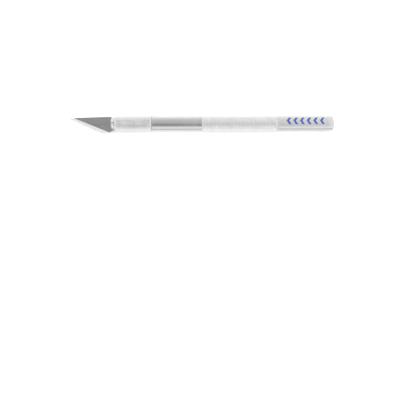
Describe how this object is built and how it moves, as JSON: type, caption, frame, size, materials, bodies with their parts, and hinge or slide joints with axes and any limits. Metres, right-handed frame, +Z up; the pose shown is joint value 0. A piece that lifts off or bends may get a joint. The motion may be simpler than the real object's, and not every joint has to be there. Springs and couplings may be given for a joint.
{
  "type": "hobby craft knife",
  "caption": "Slim pen-shaped craft knife: turned metal handle with a knurled grip, knurled twist chuck, split collet and a replaceable pointed blade.",
  "frame": {"origin": "on the surface the knife lies on, under the handle's axis, halfway between the blade's tip and the tail", "axes": "+X from the blade's tip towards the tail, +Y towards the blade's spine, +Z up; the blade is level"},
  "size_m": [0.1448, 0.0091, 0.0084],
  "materials": {
    "handle_aluminium": "satin turned, with a rolled diamond knurl on the grip",
    "mark_ink": "pad-printed ink",
    "sleeve_aluminium": "fine rolled diamond knurl",
    "collet_aluminium": "bright turned",
    "blade_steel": "rolled carbon steel with a ground edge"
  },
  "bodies": {
    "handle": {"handle_barrel": "handle_aluminium", "printed_mark": "mark_ink"},
    "sleeve": {"chuck_sleeve": "sleeve_aluminium"},
    "collet": {"collet_shank": "collet_aluminium"},
    "jaw_1": {"collet_jaw_1": "collet_aluminium"},
    "jaw_2": {"collet_jaw_2": "collet_aluminium"},
    "jaw_3": {"collet_jaw_3": "collet_aluminium"},
    "jaw_4": {"collet_jaw_4": "collet_aluminium"},
    "blade": {"blade": "blade_steel"}
  },
  "joints": [
    {"name": "chuck_turn", "type": "hinge", "parent": "handle", "child": "sleeve", "pos_m": [-0.037, 0, 0.0042], "axis": [-1, 0, 0], "range_deg": [0, 540]},
    {"name": "collet_advance", "type": "slide", "parent": "sleeve", "child": "collet", "axis": [-1, 0, 0], "range_m": [0, 0.0012]},
    {"name": "blade_pull", "type": "slide", "parent": "collet", "child": "blade", "axis": [-1, 0, 0], "range_m": [0, 0.02]},
    {"name": "jaw_1_flex", "type": "hinge", "parent": "collet", "child": "jaw_1", "pos_m": [-0.0336, 0.0012, 0.0054], "axis": [0, 0.7071, -0.7071], "range_deg": [0, 0.8]},
    {"name": "jaw_2_flex", "type": "hinge", "parent": "collet", "child": "jaw_2", "pos_m": [-0.0336, -0.0012, 0.0054], "axis": [0, 0.7071, 0.7071], "range_deg": [0, 0.8]},
    {"name": "jaw_3_flex", "type": "hinge", "parent": "collet", "child": "jaw_3", "pos_m": [-0.0336, -0.0012, 0.003], "axis": [0, -0.7071, 0.7071], "range_deg": [0, 0.8]},
    {"name": "jaw_4_flex", "type": "hinge", "parent": "collet", "child": "jaw_4", "pos_m": [-0.0336, 0.0012, 0.003], "axis": [0, -0.7071, -0.7071], "range_deg": [0, 0.8]}
  ],
  "couplings": [
    {"joint": "chuck_turn", "follows": "collet_advance", "rad_per_m": 7853.9},
    {"joint": "jaw_1_flex", "follows": "collet_advance", "rad_per_m": 11.63},
    {"joint": "jaw_2_flex", "follows": "collet_advance", "rad_per_m": 11.63},
    {"joint": "jaw_3_flex", "follows": "collet_advance", "rad_per_m": 11.63},
    {"joint": "jaw_4_flex", "follows": "collet_advance", "rad_per_m": 11.63}
  ]
}
